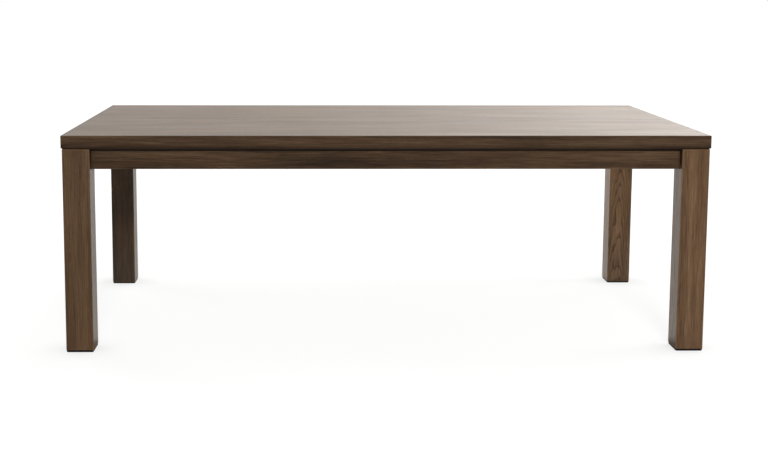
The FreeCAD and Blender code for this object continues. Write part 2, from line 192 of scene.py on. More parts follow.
# Each piece's timber: which way its grain runs, where the heart of its tree lay from the piece's middle,
# how the rings taper along it, how light the stain came out on it, and how lively its figure is. On the legs
# that light value is partly painted light and shade: the back-left leg is darkened as if in shade under the
# table, and the right-hand legs are lightened as if lit from the right.
Timber = namedtuple("Timber", "grain heart taper lightness figure")
PANEL_TIMBER = Timber("along", (0, 0.5, -0.35), 0.004, 1, 1)
LIPPING_TIMBER = Timber("along", (0, 0.02, -0.11), 0.004, 0.55, 1.4)
APRON_TIMBER = Timber("along", (0, 0.03, -0.16), 0.004, 0.62, 1.2)
FRAME_TIMBER = Timber("along", (0, 0.05, 0.09), 0.01, 1, 1)
LEG_TIMBERS = {
    "front_left": Timber("upright", (0, 0.02, 0.16), 0.006, 0.92, 0.7),
    "front_right": Timber("upright", (0, 0.03, -0.13), 0.006, 1.25, 0.9),
    "back_right": Timber("upright", (0, 0.025, 0.006), 0.03, 1.1, 1),
    "back_left": Timber("upright", (0, 0.02, 0.15), 0.006, 0.34, 1.6),
}
PANEL_SEED = 0.4
LIPPING_SEED = 1.3
APRON_SEED = 6.1
LEG_SEED = 11.7
FRAME_SEED = 21.2

# How each piece of wood is turned to lay its grain along the first axis
GRAIN_TURNS = {
    "along": Euler((0, 0, 0)),
    "across": Euler((0, 0, -math.pi / 2)),
    "upright": Euler((0, math.pi / 2, 0)),
}

# Growth rings, and the levels of noise between which pores, ray flecks and red streaks come in
SEED_STRIDE = (7.13, 3.37, 5.71)
GRAIN_WANDER = 22 * MM
RING_WIDTH = 2.8 * MM
RINGS_UNEVEN = 2.5
EARLY_WOOD = 0.5
LATE_PORES = 0.25
PORE_OPEN = (0.54, 0.66)
FLECK_OPEN = (0.6, 0.72)
RED_OPEN = (0.45, 0.65)
RAY_WRAP = 0.15

# Lumps to the metre in each pattern, along the grain and in the two ways across it
WANDER_LUMPS = (1.8, 7, 7)
RING_LUMPS = (1, 30, 30)
PORE_LUMPS = (45, 2300, 2300)
RAY_LUMPS = (55, 900, 45)
BAND_LUMPS = (1.5, 30, 30)
LINE_LUMPS = (9, 330, 330)
FIBRE_LUMPS = (30, 1000, 1000)
DRIFT_LUMPS = (1.1, 5, 5)
RED_LUMPS = (5, 130, 130)

# The middle of the wood's tone, and how far each pattern swings it
MIDDLE_TONE = 0.4
BAND_SWING = 0.95
LINE_SWING = 0.9
FIBRE_SWING = 0.4
DRIFT_SWING = 0.6
EARLY_SWING = -0.45


def make_grain_pattern():
    """The figure of a ring-porous wood in a board whose grain runs along X, in metres."""
    tree = bpy.data.node_groups.new("oak_grain_pattern", "ShaderNodeTree")
    for name, kind in (("Board", "Vector"), ("Heart", "Vector"), ("Taper", "Float"), ("Seed", "Float")):
        tree.interface.new_socket(name, in_out="INPUT", socket_type=f"NodeSocket{kind}")
    for name in ("Tone", "Red", "Early", "Pores", "Flecks"):
        tree.interface.new_socket(name, in_out="OUTPUT", socket_type="NodeSocketFloat")
    recipe = Recipe(tree)
    given = recipe.add("NodeGroupInput").node.outputs
    board = given["Board"]

    # Every piece reads its own part of the noise
    away = recipe.vector("MULTIPLY", given["Seed"], SEED_STRIDE)
    seeded = recipe.vector("ADD", board, away)

    # Growth rings about the heart of the tree, which wanders along the board
    wander = recipe.noise(seeded, WANDER_LUMPS, detail=4, roughness=0.6, output="Color")
    wander = recipe.vector("SUBTRACT", wander, (0.5, 0.5, 0.5))
    wander = recipe.vector("MULTIPLY", wander, (0, GRAIN_WANDER, GRAIN_WANDER))
    bent = recipe.vector("ADD", board, wander)
    from_heart = recipe.vector("SUBTRACT", bent, given["Heart"])
    across = recipe.vector("MULTIPLY", from_heart, (0, 1, 1))
    along = recipe.parts(board)["X"]
    radius = recipe.math("MULTIPLY_ADD", along, given["Taper"], recipe.length(across))
    uneven = recipe.times(recipe.noise(seeded, RING_LUMPS, detail=1), RINGS_UNEVEN)
    rings = recipe.math("MULTIPLY_ADD", radius, 1 / RING_WIDTH, uneven)
    early = recipe.fade(recipe.math("FRACT", rings), EARLY_WOOD, 0)

    # Pores open in the early wood of each ring
    dashes = recipe.noise(seeded, PORE_LUMPS, detail=1)
    porous = recipe.math("MULTIPLY_ADD", early, 1 - LATE_PORES, LATE_PORES)
    pores = recipe.times(recipe.fade(dashes, *PORE_OPEN), porous)

    # Rays stand in planes through the heart
    sides = recipe.parts(across)
    angle = recipe.math("ARCTAN2", sides["Z"], sides["Y"])
    ray_place = recipe.join(along, recipe.times(angle, RAY_WRAP), radius)
    flecks = recipe.fade(recipe.noise(ray_place, RAY_LUMPS, detail=1), *FLECK_OPEN)

    # Bands of colour, fine lines, fibres, a slow drift and red streaks
    tone = recipe.weigh(
        MIDDLE_TONE,
        (recipe.noise(recipe.vector("ADD", bent, away), BAND_LUMPS), BAND_SWING),
        (recipe.noise(seeded, LINE_LUMPS, roughness=0.6), LINE_SWING),
        (recipe.noise(seeded, FIBRE_LUMPS, roughness=0.6), FIBRE_SWING),
        (recipe.noise(seeded, DRIFT_LUMPS), DRIFT_SWING),
        (early, EARLY_SWING),
    )
    red = recipe.fade(recipe.noise(seeded, RED_LUMPS), *RED_OPEN)

    results = {"Tone": tone, "Red": red, "Early": early, "Pores": pores, "Flecks": flecks}
    recipe.add("NodeGroupOutput", results)
    return tree


grain_pattern = make_grain_pattern()


def board_of(recipe, node, grain):
    """Where a point lies in a piece of wood: from the piece's middle, the grain along X."""
    turn = GRAIN_TURNS[grain]
    middle = middle_of(node)
    middle.rotate(turn)
    settings = {"Vector": recipe.place(), "Location": -middle, "Rotation": turn}
    return recipe.add("ShaderNodeMapping", settings)


def grain_of(recipe, board, timber, seed):
    """The grain of one board: its tone, redness, early wood, pores and flecks, by name."""
    figure = recipe.add("ShaderNodeGroup", node_tree=grain_pattern).node
    places = {"Board": board, "Heart": timber.heart, "Taper": timber.taper, "Seed": seed}
    for name, given in places.items():
        recipe.feed(figure.inputs[name], given)
    return figure.outputs


# Painted shade in the recesses and along the edges: the wood drawn darker where shade falls

# Painted shade on the top's edge, in heights above its lower edge: as dark as it gets, and where the dark
# ends
EDGE_SHADE_FULL = 3 * MM
EDGE_SHADE_END = 26 * MM
EDGE_SHADE_SHARE = 0.5

# Painted shade on the aprons, in distances from an apron's ends, and below its upper edge
END_SHADE_REACH = 7 * MM
END_SHADE_SHARE = 0.65
TOP_SHADE_FULL = 4 * MM
TOP_SHADE_END = 11 * MM
TOP_SHADE_SHARE = 0.55

# Painted shade on the legs' inner faces, from the corner beside the apron out to the leg's edge
RECESS_CORNER_SHARE = 0.85
RECESS_EDGE_SHARE = 0.3
RECESS_FADE = 10 * MM
RECESS_RISE = 30 * MM
FACE_FEATHER = 1.5 * MM


def painted_shade_under_edge(recipe):
    """Painted shade along the lower edge of the top, over its chamfer."""
    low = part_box("edge_lipping_front")[0].z
    height = recipe.parts(recipe.place())["Z"]
    return recipe.fade(height, low + EDGE_SHADE_END, low + EDGE_SHADE_FULL, 0, EDGE_SHADE_SHARE)


def painted_shade_round_apron(side):
    """Painted shade at an apron's ends, against the legs, and along its upper edge under the top."""
    far_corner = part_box(f"apron_{side}")[1]
    axis = "X" if side in LONG_SIDES else "Y"
    end = far_corner["XY".index(axis)]
    top = far_corner.z

    def share(recipe):
        place = recipe.parts(recipe.vector("ABSOLUTE", recipe.place()))
        at_ends = recipe.fade(place[axis], end - END_SHADE_REACH, end, 0, END_SHADE_SHARE)
        at_top = recipe.fade(place["Z"], top - TOP_SHADE_END, top - TOP_SHADE_FULL, 0, TOP_SHADE_SHARE)
        return recipe.math("MAXIMUM", at_ends, at_top)
    return share


def painted_shade_beside_aprons(recipe):
    """Painted shade on the legs' inner faces, in the recesses in front of the aprons."""
    apron_low, back_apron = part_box("apron_back")
    right_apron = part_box("apron_right")[1]
    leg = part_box("leg_back_right")[1]
    x, y, z = recipe.parts(recipe.vector("ABSOLUTE", recipe.place()))
    recesses = (
        (x, y, back_apron.x, back_apron.y, leg.y),
        (y, x, right_apron.y, right_apron.x, leg.x),
    )
    shares = []
    for across, along, inner_face, apron_face, leg_face in recesses:
        on_face = recipe.fade(across, inner_face + FACE_FEATHER, inner_face)
        in_front = recipe.fade(along, apron_face - RECESS_FADE, apron_face)
        near = recipe.fade(along, leg_face, apron_face, RECESS_EDGE_SHARE, RECESS_CORNER_SHARE)
        shares.append(recipe.times(on_face, in_front, near))
    above = recipe.fade(z, apron_low.z, apron_low.z + RECESS_RISE)
    return recipe.times(above, recipe.math("MAXIMUM", *shares))


# Stained oak

OAK_DARK = paint(46, 34, 23)
OAK_MIDDLE = paint(88, 66, 46)
OAK_LIGHT = paint(128, 101, 75)
OAK_RED = paint(96, 66, 46)
# Pale oak of the edges, partly from rubbing and partly a painted highlight
OAK_WORN_AND_HIGHLIGHT = paint(146, 116, 88)
# Dark oak of the pores, also the colour of the painted shade in the recesses
OAK_PORE_AND_SHADE = paint(30, 20, 13)
OAK_STOPS = ((0.15, OAK_DARK), (0.5, OAK_MIDDLE), (0.9, OAK_LIGHT))

# What the streaks, rays and pores add to the colour, and how much of it
OAK_TINTS = (("Red", 0.35, OAK_RED), ("Flecks", 0.12, OAK_LIGHT), ("Pores", 0.6, OAK_PORE_AND_SHADE))

# Veneer leaves on the panel
LEAF_WIDTH = 155 * MM
LEAF_SLIP = 1.7
LEAF_SWING = 0.1
LEAF_JOIN = 0.25 * MM

# Edges lighter partly from rubbing and partly as a painted highlight on the arrises: the box that they are
# measured on, and how much lighter they are drawn
RubAndHighlight = namedtuple("RubAndHighlight", "box share")
LIPPING_RUB_AND_HIGHLIGHT = 0.12
APRON_RUB_AND_HIGHLIGHT = 0.2
LEG_RUB_AND_HIGHLIGHT = 0.35
RUB_AND_HIGHLIGHT_REACH = 9 * MM
RUB_AND_HIGHLIGHT_LUMPS = (40, 160, 160)

# Satin lacquer: rougher over pores and over the painted shade, smeared here and there, sunk into the pores
LACQUER_ROUGHNESS = 0.36
LACQUER_IOR = 1.38
SMEAR_LUMPS = (3, 9, 9)
SMEAR_SWING = 0.12
PORE_ROUGHNESS = 0.2
PAINTED_SHADE_ROUGHNESS = 0.5
PORE_DEPTH = 0.06 * MM
EARLY_DEPTH_SHARE = 0.25


def veneer_leaves(recipe, board):
    """Veneer laid in leaves side by side: a point's place in its leaf, and what leaf and join add in tone."""
    x, y, z = recipe.parts(board)
    leaf = recipe.math("FLOOR", recipe.math("DIVIDE", y, LEAF_WIDTH))
    slipped = recipe.math("MULTIPLY_ADD", leaf, LEAF_SLIP, x)
    within = recipe.math("MULTIPLY_ADD", leaf, -LEAF_WIDTH, y)
    own_tone = recipe.add("ShaderNodeTexWhiteNoise", {"W": leaf}, "Value", noise_dimensions="1D")
    join = recipe.fade(recipe.math("PINGPONG", y, LEAF_WIDTH / 2), LEAF_JOIN, 0)
    tone = recipe.math("SUBTRACT", recipe.weigh(0, (own_tone, LEAF_SWING)), join)
    return recipe.join(slipped, within, z), tone


def edge_distance(recipe, low, high):
    """How far a point on a box lies from the nearest of the box's edges."""
    from_middle = recipe.vector("ABSOLUTE", recipe.vector("SUBTRACT", recipe.place(), (low + high) / 2))
    x, y, z = recipe.parts(recipe.vector("SUBTRACT", (high - low) / 2, from_middle))
    nearer = recipe.math("MINIMUM", x, y)
    further = recipe.math("MAXIMUM", x, y)
    return recipe.math("MAXIMUM", nearer, recipe.math("MINIMUM", further, z))


def oak_colour(recipe, grain, timber, leaf_tone):
    """Stained wood with its figure, its red streaks, its rays and its dark pores."""
    swing = recipe.math("SUBTRACT", grain["Tone"], MIDDLE_TONE)
    tone = recipe.math("MULTIPLY_ADD", swing, timber.figure, MIDDLE_TONE)
    tone = recipe.math("ADD", tone, leaf_tone)
    colour = recipe.ramp(tone, OAK_STOPS)
    for pattern, share, tint in OAK_TINTS:
        colour = recipe.mix(recipe.times(grain[pattern], share), colour, tint)
    # How light the piece is drawn: the stain's own tone, and on the legs partly painted light and shade
    return recipe.mix(1, colour, [timber.lightness] * 3 + [1], blend="MULTIPLY")


def stained_oak(node, timber, seed, rub_and_highlight=None, painted_shade=None, in_leaves=False):
    """Dark stained oak under a satin lacquer, its open pores still felt, its edges lighter from rubbing and
    from a painted highlight, and painted shade where given.
    """
    material, recipe = new_material(f"stained_oak_{node}")
    board = board_of(recipe, node, timber.grain)
    leaf_tone = 0
    if in_leaves:
        board, leaf_tone = veneer_leaves(recipe, board)
    grain = grain_of(recipe, board, timber, seed)
    colour = oak_colour(recipe, grain, timber, leaf_tone)
    smears = recipe.noise(board, SMEAR_LUMPS, detail=3)
    roughness = recipe.weigh(LACQUER_ROUGHNESS, (smears, SMEAR_SWING))
    roughness = recipe.math("MULTIPLY_ADD", grain["Pores"], PORE_ROUGHNESS, roughness)
    # The edges drawn lighter, partly as worn by rubbing and partly as a painted highlight on the arrises
    if rub_and_highlight:
        reach = recipe.times(recipe.noise(board, RUB_AND_HIGHLIGHT_LUMPS, detail=3), RUB_AND_HIGHLIGHT_REACH)
        rubbed_and_highlit = recipe.fade(edge_distance(recipe, *rub_and_highlight.box), reach, 0)
        colour = recipe.mix(recipe.times(rubbed_and_highlit, rub_and_highlight.share), colour, OAK_WORN_AND_HIGHLIGHT)
    # Painted shade: the wood drawn darker, towards the colour of the pores, in the recesses and under the
    # edges
    if painted_shade:
        share = painted_shade(recipe)
        colour = recipe.mix(share, colour, OAK_PORE_AND_SHADE)
        roughness = recipe.math("MULTIPLY_ADD", share, PAINTED_SHADE_ROUGHNESS, roughness)
    early_height = recipe.times(grain["Early"], -EARLY_DEPTH_SHARE)
    height = recipe.math("MULTIPLY_ADD", grain["Pores"], -1, early_height)
    sockets = {"Base Color": colour, "Roughness": roughness, "IOR": LACQUER_IOR}
    finish_surface(recipe, sockets, height, PORE_DEPTH)
    return material


# Bare wood of the hidden frame

PALE_DARK = paint(158, 126, 88)
PALE_MIDDLE = paint(190, 160, 120)
PALE_LIGHT = paint(214, 190, 154)
PALE_STOPS = ((0.15, PALE_DARK), (0.5, PALE_MIDDLE), (0.85, PALE_LIGHT))
PALE_PORE_SHARE = 0.3
BARE_ROUGHNESS = 0.68
FUR_LUMPS = (90, 1500, 1500)
FUR_SWING = 0.2
FUR_DEPTH = 0.1 * MM
RIPPLE = 2.2 * MM
RIPPLE_DEPTH_SHARE = 0.15
STAIN_RAGGED = 10 * MM
RAGGED_LUMPS = (35, 35, 35)


def outside_aprons(recipe):
    """One outside the aprons, where the wood under the top shows and is stained with the rest."""
    place = recipe.place()
    spread = recipe.parts(recipe.vector("ABSOLUTE", place))
    past_end = recipe.math("SUBTRACT", spread["X"], middle_of("apron_right").x)
    past_side = recipe.math("SUBTRACT", spread["Y"], middle_of("apron_back").y)
    ragged = recipe.noise(place, RAGGED_LUMPS, detail=4)
    past = recipe.weigh(recipe.math("MAXIMUM", past_end, past_side), (ragged, STAIN_RAGGED))
    return recipe.fade(past, -STAIN_RAGGED / 4, STAIN_RAGGED / 4)


def planed_frame_wood(node, timber, seed):
    """Pale frame timber straight from the planer: bare, a little furry, with the cutter's ripples."""
    material, recipe = new_material(f"frame_wood_{node}")
    board = board_of(recipe, node, timber.grain)
    grain = grain_of(recipe, board, timber, seed)
    colour = recipe.ramp(grain["Tone"], PALE_STOPS)
    colour = recipe.mix(recipe.times(grain["Pores"], PALE_PORE_SHARE), colour, PALE_DARK)
    colour = recipe.mix(outside_aprons(recipe), colour, OAK_DARK)
    ripples = recipe.math("SINE", recipe.times(recipe.parts(board)["X"], 2 * math.pi / RIPPLE))
    fur = recipe.noise(board, FUR_LUMPS)
    height = recipe.math("MULTIPLY_ADD", ripples, RIPPLE_DEPTH_SHARE, fur)
    sockets = {"Base Color": colour, "Roughness": recipe.weigh(BARE_ROUGHNESS, (fur, FUR_SWING))}
    finish_surface(recipe, sockets, height, FUR_DEPTH)
    return material


# Zinc

ZINC_CLEAN = paint(196, 200, 204)
ZINC_DULL = paint(176, 178, 179)
ZINC_ROUGHNESS = 0.36
CLOUD_LUMPS = (70, 70, 70)
CLOUD_SWING = 0.2
DULL_LUMPS = (160, 160, 160)
DULL_PATCHES = (0.5, 0.68)
SCRATCH_LUMPS = (2600, 300, 300)
SCRATCH_SWING = 0.25
SCRATCH_DEPTH = 0.02 * MM


def bright_zinc():
    """Pressed steel under bright zinc: cloudy, with fine scratches and dull rubbed patches."""
    material, recipe = new_material("bright_zinc")
    place = recipe.place()
    clouds = recipe.noise(place, CLOUD_LUMPS, detail=3)
    dull = recipe.fade(recipe.noise(place, DULL_LUMPS, detail=4), *DULL_PATCHES)
    scratches = recipe.noise(place, SCRATCH_LUMPS)
    colour = recipe.mix(dull, ZINC_CLEAN, ZINC_DULL)
    roughness = recipe.weigh(ZINC_ROUGHNESS, (clouds, CLOUD_SWING), (scratches, SCRATCH_SWING))
    sockets = {"Base Color": colour, "Roughness": roughness, "Metallic": 1}
    finish_surface(recipe, sockets, scratches, SCRATCH_DEPTH)
    return material


# Dressing the solids

def dress(node, material):
    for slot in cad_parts[node].material_slots:
        slot.link = "OBJECT"
        slot.material = material


def grain_along(side):
    return "along" if side in LONG_SIDES else "across"


def dress_oak():
    slab_low, slab_high = (corner.copy() for corner in cad_box)
    slab_low.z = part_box("edge_lipping_front")[0].z
    slab_rub_and_highlight = RubAndHighlight((slab_low, slab_high), LIPPING_RUB_AND_HIGHLIGHT)
    dress("top_panel", stained_oak("top_panel", PANEL_TIMBER, PANEL_SEED, in_leaves=True))
    for number, side in enumerate(SIDES):
        lipping = f"edge_lipping_{side}"
        timber = LIPPING_TIMBER._replace(grain=grain_along(side))
        dress(lipping, stained_oak(lipping, timber, LIPPING_SEED + number, slab_rub_and_highlight, painted_shade_under_edge))
        apron = f"apron_{side}"
        timber = APRON_TIMBER._replace(grain=grain_along(side))
        rub_and_highlight = RubAndHighlight(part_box(apron), APRON_RUB_AND_HIGHLIGHT)
        dress(apron, stained_oak(apron, timber, APRON_SEED + number, rub_and_highlight, painted_shade_round_apron(side)))
    for number, corner in enumerate(CORNERS):
        leg = f"leg_{corner}"
        rub_and_highlight = RubAndHighlight(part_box(leg), LEG_RUB_AND_HIGHLIGHT)
        dress(leg, stained_oak(leg, LEG_TIMBERS[corner], LEG_SEED + number, rub_and_highlight, painted_shade_beside_aprons))


def dress_hidden_frame():
    strips = {f"build_up_strip_{side}": grain_along(side) for side in SIDES}
    rails = {f"cross_{kind}_{hand}": "across" for kind in ("batten", "rail") for hand in HANDS}
    for number, (node, grain) in enumerate({**strips, **rails}.items()):
        dress(node, planed_frame_wood(node, FRAME_TIMBER._replace(grain=grain), FRAME_SEED + number))


def dress_metal(zinc):
    plates = [f"corner_plate_{corner}" for corner in CORNERS]
    for node in (*plates, "bolt_washers", "top_clips"):
        dress(node, zinc)


# Shapes skinned over loops

def skin(name, loops, closed):
    """A shape skinned over loops of points, its ends capped, or its last loop joined to its first."""
    shape = bmesh.new()
    loops = [[shape.verts.new(place) for place in loop] for loop in loops]
    pairs = list(zip(loops, loops[1:]))
    if closed:
        pairs.append((loops[-1], loops[0]))
    else:
        shape.faces.new(loops[0])
        shape.faces.new(loops[-1])
    for lower, upper in pairs:
        for step in range(len(lower)):
            shape.faces.new((lower[step - 1], lower[step], upper[step], upper[step - 1]))
    bmesh.ops.recalc_face_normals(shape, faces=shape.faces)
    mesh = bpy.data.meshes.new(name)
    shape.to_mesh(mesh)
    shape.free()
    return bpy.data.objects.new(name, mesh)


# Foot pads

PAD_WIDTH = 94 * MM
PAD_CORNER = 6 * MM
PAD_EASE = 2 * MM
PAD_CORNER_STEPS = 8
PAD_BLACK = paint(13, 12, 12)
PAD_SCUFFED = paint(58, 55, 51)
PAD_ROUGHNESS = 0.66
PAD_CELLS = 900
CELL_SWING = 0.2
CELL_DEPTH = 0.08 * MM
SCUFF_REACH = 1.5 * MM
SCUFF_SHARE = 0.7
SCUFF_LUMPS = (120, 120, 120)


def moulded_pad():
    """Black moulded plastic with a fine leathery grain, scuffed grey where it meets the floor."""
    material, recipe = new_material("moulded_pad")
    place = recipe.place()
    cells = recipe.add("ShaderNodeTexVoronoi", {"Vector": place, "Scale": PAD_CELLS}, output="Distance")
    reach = recipe.times(recipe.noise(place, SCUFF_LUMPS, detail=3), SCUFF_REACH)
    scuffed = recipe.fade(recipe.parts(place)["Z"], reach, 0, 0, SCUFF_SHARE)
    colour = recipe.mix(scuffed, PAD_BLACK, PAD_SCUFFED)
    roughness = recipe.weigh(PAD_ROUGHNESS, (cells, CELL_SWING))
    finish_surface(recipe, {"Base Color": colour, "Roughness": roughness}, cells, CELL_DEPTH)
    return material


def rounded_square(middle, half_width, corner_radius, height):
    """A loop around a square with rounded corners."""
    reach = math.sqrt(2) * (half_width - corner_radius)
    places = []
    for quarter in range(4):
        start = math.pi / 2 * quarter
        corner_x = middle.x + reach * math.cos(start + math.pi / 4)
        corner_y = middle.y + reach * math.sin(start + math.pi / 4)
        for step in range(PAD_CORNER_STEPS + 1):
            angle = start + math.pi / 2 * step / PAD_CORNER_STEPS
            x = corner_x + corner_radius * math.cos(angle)
            y = corner_y + corner_radius * math.sin(angle)
            places.append((x, y, height))
    return places


def mould_pads():
    """Square pads nearly as wide as the legs, eased above and below."""
    pad_black = moulded_pad()
    for corner in CORNERS:
        node = f"foot_pad_{corner}"
        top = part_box(node)[1].z
        profile = (
            (PAD_EASE, 0),
            (PAD_EASE / 3, PAD_EASE / 3),
            (0, PAD_EASE),
            (0, top - PAD_EASE / 3),
            (PAD_EASE / 3, top),
        )
        middle = middle_of(node)
        loops = [rounded_square(middle, PAD_WIDTH / 2 - inset, PAD_CORNER - inset, z) for inset, z in profile]
        pad = skin(f"moulded_pad_{corner}", loops, closed=False)
        pad.data.materials.append(pad_black)
        put_in_scene(pad)
        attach(pad, "root")
        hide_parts(node)


# Screw heads and nuts

LATHE_STEPS = 24
HEAD_RADIUS = 4.5 * MM
HEAD_HEIGHT = 2.8 * MM
SOCKET_LOBES = 6
LOBE_DEPTH = 0.16
NUT_WIDTH = 13 * MM
NUT_HEIGHT = 6.5 * MM
NUT_FACE_RADIUS = 6.1 * MM
NUT_BORE = 4.05 * MM
NUT_CHAMFER = math.radians(30)

# Rings of the screw head, in shares of its radius and height
HEAD_DOME = ((1, 0), (1, 0.25), (0.92, 0.6), (0.74, 0.88), (0.55, 1))
HEAD_SOCKET = ((0.42, 1), (0.4, 0.35))


def lathe(name, rings, closed):
    """A shape of rings about Z, each ring a rule for radius and height at an angle."""
    angles = [2 * math.pi * step / LATHE_STEPS for step in range(LATHE_STEPS)]
    loops = []
    for ring in rings:
        places = [(angle, *ring(angle)) for angle in angles]
        loops.append([(r * math.cos(a), r * math.sin(a), z) for a, r, z in places])
    return skin(name, loops, closed)


def make_screw_head():
    """A pan head with a six-lobed socket, standing on its seat."""
    def ring(radius, height, lobe_depth=0):
        def outline(angle):
            wave = 1 + lobe_depth * math.cos(SOCKET_LOBES * angle)
            return radius * HEAD_RADIUS * wave, height * HEAD_HEIGHT
        return outline

    dome = [ring(*shares) for shares in HEAD_DOME]
    socket = [ring(*shares, LOBE_DEPTH) for shares in HEAD_SOCKET]
    return lathe("screw_head", dome + socket, closed=False)


def make_nut():
    """A hexagon nut, its corners turned off at both ends."""
    def hexagon(angle):
        return NUT_WIDTH / 2 / math.cos((angle + math.pi / 6) % (math.pi / 3) - math.pi / 6)

    def turned_off(angle):
        return (hexagon(angle) - NUT_FACE_RADIUS) * math.tan(NUT_CHAMFER)

    rings = [
        lambda angle: (NUT_BORE, 0),
        lambda angle: (NUT_FACE_RADIUS, 0),
        lambda angle: (hexagon(angle), turned_off(angle)),
        lambda angle: (hexagon(angle), NUT_HEIGHT - turned_off(angle)),
        lambda angle: (NUT_FACE_RADIUS, NUT_HEIGHT),
        lambda angle: (NUT_BORE, NUT_HEIGHT),
    ]
    return lathe("nut", rings, closed=True)


# Makers of fasteners

THREAD_SIDES = 16
STEPS_PER_TURN = 4


def new_maker(name, inputs):
    """A tree of geometry nodes that works on points, with named inputs."""
    tree = bpy.data.node_groups.new(name, "GeometryNodeTree")
    tree.interface.new_socket("Points", in_out="INPUT", socket_type="NodeSocketGeometry")
    for label, kind in inputs.items():
        tree.interface.new_socket(label, in_out="INPUT", socket_type=f"NodeSocket{kind}")
    tree.interface.new_socket("Pieces", in_out="OUTPUT", socket_type="NodeSocketGeometry")
    recipe = Recipe(tree)
    return tree, recipe, recipe.add("NodeGroupInput").node.outputs


def set_on_points(recipe, given, shape):
    """Stands a shape on each point along the way that it faces, spun by chance, and finishes it."""
    facing = recipe.add("GeometryNodeInputNamedAttribute", {"Name": "facing"}, data_type="FLOAT_VECTOR")
    upright = recipe.add("FunctionNodeAlignRotationToVector", {"Vector": facing}, axis="Z")
    chance = {"Min": (0, 0, 0), "Max": (0, 0, 2 * math.pi), "Seed": given["Seed"]}
    spin = recipe.add("FunctionNodeRandomValue", chance, data_type="FLOAT_VECTOR")
    spun = recipe.add("FunctionNodeRotateRotation", {0: upright, 1: spin}, rotation_space="LOCAL")
    settings = {"Points": given["Points"], "Instance": shape, "Rotation": spun}
    pieces = recipe.add("GeometryNodeInstanceOnPoints", settings)
    pieces = recipe.add("GeometryNodeRealizeInstances", {"Geometry": pieces})
    pieces = recipe.add("GeometryNodeSetMaterial", {"Geometry": pieces, "Material": given["Finish"]})
    recipe.add("NodeGroupOutput", {"Pieces": pieces})


def fastener_maker():
    """Sets copies of one small piece on the points."""
    inputs = {"Fastener": "Object", "Seed": "Int", "Finish": "Material"}
    tree, recipe, given = new_maker("set_fasteners", inputs)
    shape = recipe.add("GeometryNodeObjectInfo", {"Object": given["Fastener"]}, output="Geometry")
    set_on_points(recipe, given, shape)
    return tree


def thread_maker():
    """Sets a threaded rod on each point: a cylinder whose skin is cut in along a helix."""
    sizes = {"Radius": "Float", "Length": "Float", "Pitch": "Float", "Depth": "Float"}
    tree, recipe, given = new_maker("set_threaded_rods", {**sizes, "Seed": "Int", "Finish": "Material"})
    radius, length, pitch, depth = (given[name] for name in sizes)
    steps = recipe.times(recipe.math("DIVIDE", length, pitch), STEPS_PER_TURN)
    settings = {"Vertices": THREAD_SIDES, "Side Segments": steps, "Radius": radius, "Depth": length}
    rod = recipe.add("GeometryNodeMeshCylinder", settings, output="Mesh")

    # The cut is deepest halfway between two crests, and both ends are turned down
    x, y, z = recipe.parts(recipe.add("GeometryNodeInputPosition"))
    turn = recipe.math("DIVIDE", recipe.math("ARCTAN2", y, x), 2 * math.pi)
    climb = recipe.math("ADD", recipe.math("DIVIDE", z, pitch), turn)
    cut = recipe.times(recipe.math("PINGPONG", climb, 0.5), 2, depth)
    to_end = recipe.math("SUBTRACT", recipe.math("DIVIDE", length, 2), recipe.math("ABSOLUTE", z))
    cut = recipe.math("MAXIMUM", cut, recipe.fade(to_end, depth, 0, 0, depth))
    inwards = recipe.math("DIVIDE", cut, recipe.times(radius, -1))
    shift = recipe.vector("MULTIPLY", recipe.join(x, y, 0), recipe.join(inwards, inwards, 0))
    rod = recipe.add("GeometryNodeSetPosition", {"Geometry": rod, "Offset": shift})
    set_on_points(recipe, given, rod)
    return tree


def settle(name, places, tree, stands_for=None, **inputs):
    """Runs a maker on places, each a point and the way it faces, and keeps a plain mesh that rides."""
    spots, ways = zip(*places)
    points = bpy.data.meshes.new(name)
    points.from_pydata(spots, [], [])
    facing = points.attributes.new("facing", "FLOAT_VECTOR", "POINT")
    for entry, way in zip(facing.data, ways):
        entry.vector = way
    piece = bpy.data.objects.new(name, points)
    put_in_scene(piece)
    maker = piece.modifiers.new("maker", "NODES")
    maker.node_group = tree
    for socket in tree.interface.items_tree:
        if socket.name in inputs:
            maker[socket.identifier] = inputs[socket.name]
    graph = bpy.context.evaluated_depsgraph_get()
    made = bpy.data.meshes.new_from_object(piece.evaluated_get(graph))
    piece.modifiers.remove(maker)
    piece.data = made
    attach(piece, "root")
    if stands_for:
        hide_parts(stands_for)


# Where the fasteners sit

PLATE_THICKNESS = 2.5 * MM
FLANGE_MIDDLE = 59.8 * MM
CLIP_THICKNESS = 2 * MM
CLIP_SPREAD = 230 * MM
CLIP_SCREW_INSET = 18 * MM
BOLT_SPACING = 26 * MM
BOLT_RADIUS = 4 * MM
THREAD_PITCH = 1.25 * MM
THREAD_DEPTH = 0.7 * MM

# Distances from the leg's axis towards the table's middle
BOLT_START = 8.03 * MM
BOLT_END = 83.03 * MM
NUT_SEAT = 71.53 * MM

# Seeds of the fasteners' spins
PLATE_SCREW_SEED = 3
CLIP_SCREW_SEED = 5
NUT_SEED = 8
BOLT_SEED = 13


def bolt_places(along_bolt):
    """The bolts' axes at a distance from the leg's axis, each with the way to the table's middle."""
    places = []
    for corner in CORNERS:
        axis = middle_of(f"leg_{corner}")
        inwards = Vector((-math.copysign(1, axis.x), -math.copysign(1, axis.y), 0)).normalized()
        level = middle_of(f"corner_plate_{corner}").z
        for step in (-0.5, 0.5):
            spot = axis + inwards * along_bolt
            spot.z = level + step * BOLT_SPACING
            places.append((spot, inwards))
    return places


